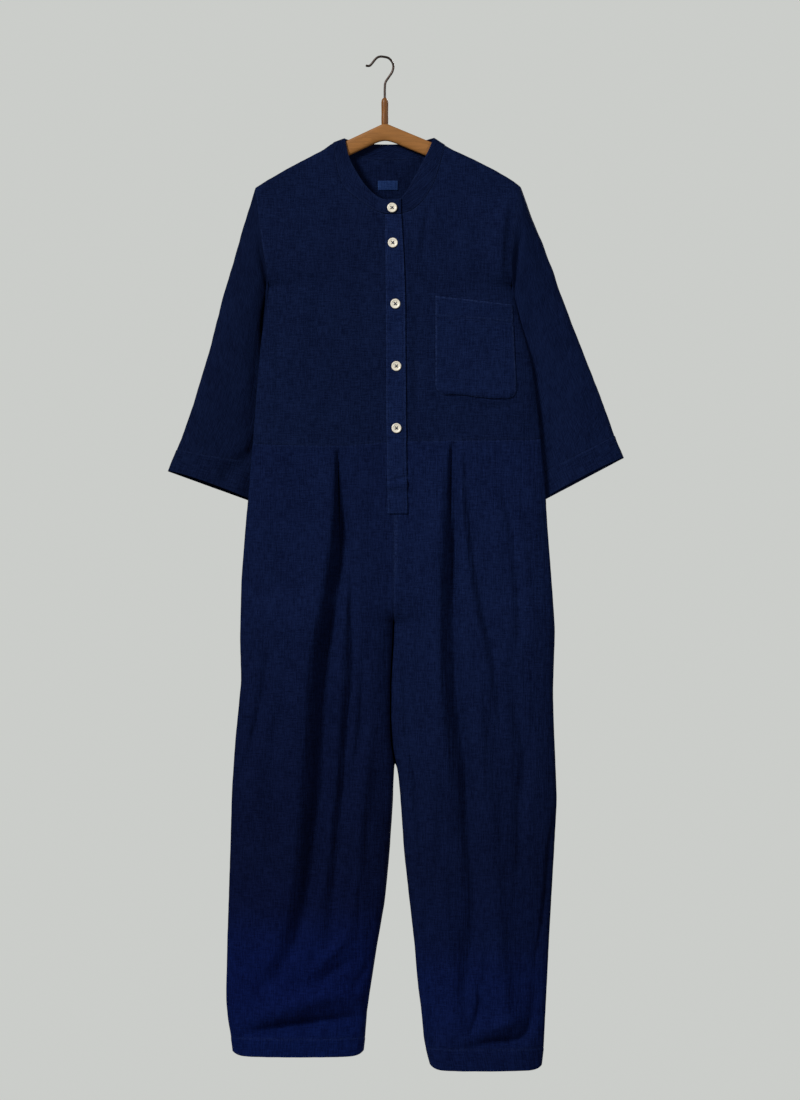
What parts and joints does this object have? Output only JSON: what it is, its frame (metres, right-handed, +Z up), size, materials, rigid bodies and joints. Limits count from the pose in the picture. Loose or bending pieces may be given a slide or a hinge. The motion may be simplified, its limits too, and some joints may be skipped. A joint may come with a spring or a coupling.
{
  "type": "jumpsuit on a hanger",
  "caption": "Dark navy linen one-piece with a band collar, half-front button placket, chest pocket and tapered pleated legs, hung flat on a wooden hanger with a wire hook",
  "frame": {"origin": "the inside of the hook's crown, where a rail would carry the hanger", "axes": "+Z up, the garment's front faces -Y, the wearer's left is +X"},
  "size_m": [0.686, 0.0724, 1.5205],
  "materials": {
    "linen": "matte, slubby plain weave in dark navy, paler along worn seams",
    "label_cloth": "matte woven tape, mid blue",
    "button": "satin off-white, four holes",
    "hanger_wood": "satin varnished, mid brown",
    "turned_wood": "satin varnished, reddish brown",
    "hook_wire": "dark bronzed wire"
  },
  "bodies": {
    "root": {"bodice_front_right": "linen", "bodice_front_left": "linen", "bodice_back": "linen", "sleeve_right": "linen", "sleeve_left": "linen", "cuff_right": "linen", "cuff_left": "linen", "trouser_front_right": "linen", "trouser_front_left": "linen", "trouser_back_right": "linen", "trouser_back_left": "linen", "leg_hem_right": "linen", "leg_hem_left": "linen", "collar_band": "linen", "placket": "linen", "placket_under": "linen", "chest_pocket": "linen", "neck_label": "label_cloth", "button_1": "button", "button_2": "button", "button_3": "button", "button_4": "button", "button_5": "button", "hanger_bar": "hanger_wood", "hanger_peg": "turned_wood", "hanger_hook": "hook_wire"}
  },
  "joints": []
}
